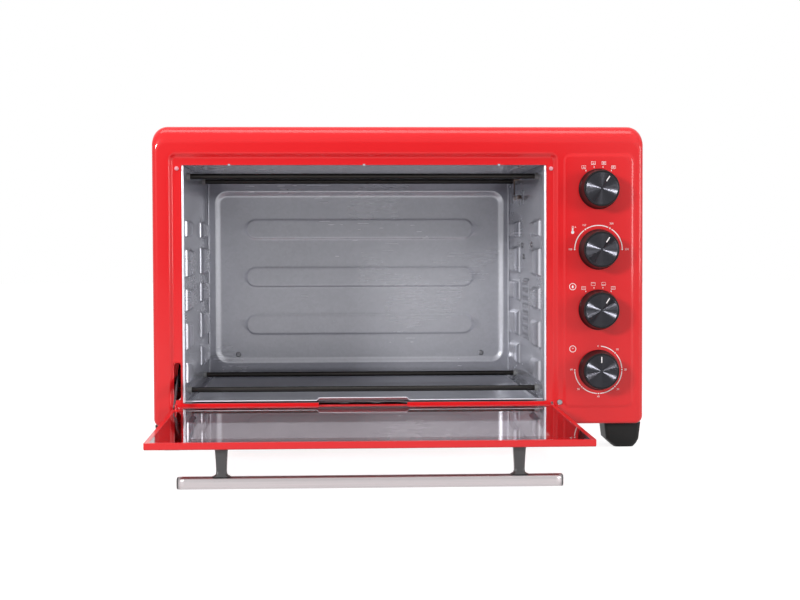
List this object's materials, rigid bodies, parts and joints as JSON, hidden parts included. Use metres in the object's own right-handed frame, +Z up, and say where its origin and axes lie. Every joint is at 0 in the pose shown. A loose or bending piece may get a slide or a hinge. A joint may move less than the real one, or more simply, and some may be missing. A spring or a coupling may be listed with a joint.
{
  "type": "countertop oven",
  "caption": "Countertop electric oven with a drop-down glass door, bar handle, column of rotary controls, crumb tray and side convection fan.",
  "frame": {"origin": "centre of the bounding box at the height of the table, with the door open", "axes": "+Z up, the front and its door face -Y, +X towards the controls"},
  "size_m": [0.58, 0.697, 0.383],
  "materials": {
    "red_enamel": "gloss",
    "galvanised_steel": "satin",
    "black_plastic": "matte",
    "black_knob": "satin",
    "spun_aluminium": "spun",
    "satin_steel": "brushed",
    "zinc_screw": "satin",
    "heater_sheath": "matte",
    "ceramic": "matte",
    "glass": "clear",
    "silicone": "matte",
    "phenolic": "matte",
    "copper_capillary": "satin",
    "wire_sleeve": "matte",
    "motor_iron": "matte"
  },
  "bodies": {
    "oven": {"back_cover": "galvanised_steel", "base_pan": "galvanised_steel", "bulb_clips": "galvanised_steel", "case_screws": "zinc_screw", "cavity_back": "galvanised_steel", "cavity_floor": "galvanised_steel", "cavity_left_wall": "galvanised_steel", "cavity_right_wall": "galvanised_steel", "cavity_roof": "galvanised_steel", "cavity_screws": "zinc_screw", "control_bracket": "galvanised_steel", "cord_gland": "black_plastic", "door_bumpers": "silicone", "door_spring": "zinc_screw", "fan_duct": "galvanised_steel", "fan_motor": "motor_iron", "feet": "black_plastic", "foot_screws": "zinc_screw", "front_panel": "red_enamel", "function_switch": "phenolic", "guide_roller": "zinc_screw", "heat_switch": "phenolic", "heater_ends": "ceramic", "hinge_brackets": "galvanised_steel", "lower_front_heater": "heater_sheath", "lower_rear_heater": "heater_sheath", "outer_shell": "red_enamel", "spring_anchor": "galvanised_steel", "terminal_block": "black_plastic", "thermostat": "phenolic", "thermostat_bulb": "copper_capillary", "timer_unit": "zinc_screw", "upper_front_heater": "heater_sheath", "upper_rear_heater": "heater_sheath", "wiring_loom": "wire_sleeve"},
    "door": {"door_frame": "red_enamel", "door_glass": "glass", "handle_bar": "satin_steel", "handle_end_caps": "black_plastic", "handle_posts": "black_plastic", "handle_screws": "zinc_screw", "hinge_pins": "zinc_screw", "arm_lug": "red_enamel"},
    "hinge_arm": {"hinge_arm": "galvanised_steel"},
    "crumb_tray": {"crumb_tray": "galvanised_steel"},
    "fan": {"fan_wheel": "galvanised_steel"},
    "function_knob": {"function_knob": "black_knob", "function_knob_cap": "spun_aluminium", "function_knob_shaft": "zinc_screw"},
    "temperature_knob": {"temperature_knob": "black_knob", "temperature_knob_cap": "spun_aluminium", "temperature_knob_shaft": "zinc_screw"},
    "heat_knob": {"heat_knob": "black_knob", "heat_knob_cap": "spun_aluminium", "heat_knob_shaft": "zinc_screw"},
    "timer_knob": {"timer_knob": "black_knob", "timer_knob_cap": "spun_aluminium", "timer_knob_shaft": "zinc_screw"}
  },
  "joints": [
    {"name": "door_hinge", "type": "hinge", "parent": "oven", "child": "door", "pos_m": [-0.0415, -0.05197, 0.0505], "axis": [1, 0, 0], "range_deg": [-91.1, 0]},
    {"name": "hinge_arm_pivot", "type": "hinge", "parent": "door", "child": "hinge_arm", "pos_m": [-0.262, -0.08806, 0.05743], "axis": [1, 0, 0], "range_deg": [-0.5, 84], "deforming": ["door_spring"]},
    {"name": "function_knob_turn", "type": "hinge", "parent": "oven", "child": "function_knob", "pos_m": [0.236, -0.07402, 0.3088], "axis": [0, 1, 0], "range_deg": [-69, 0]},
    {"name": "temperature_knob_turn", "type": "hinge", "parent": "oven", "child": "temperature_knob", "pos_m": [0.236, -0.07402, 0.2373], "axis": [0, 1, 0], "range_deg": [-125, 55]},
    {"name": "heat_knob_turn", "type": "hinge", "parent": "oven", "child": "heat_knob", "pos_m": [0.236, -0.07402, 0.1658], "axis": [0, 1, 0], "range_deg": [-69, 0]},
    {"name": "timer_knob_turn", "type": "hinge", "parent": "oven", "child": "timer_knob", "pos_m": [0.236, -0.07402, 0.0943], "axis": [0, 1, 0], "range_deg": [0, 270]},
    {"name": "crumb_tray_slide", "type": "slide", "parent": "oven", "child": "crumb_tray", "axis": [0, -1, 0], "range_m": [0, 0.3]},
    {"name": "fan_spin", "type": "hinge", "parent": "oven", "child": "fan", "pos_m": [0.19, 0.12498, 0.16], "axis": [1, 0, 0], "continuous": true}
  ],
  "couplings": [
    {"joint": "hinge_arm_pivot", "follows": "door_hinge", "ratio": -0.914}
  ]
}
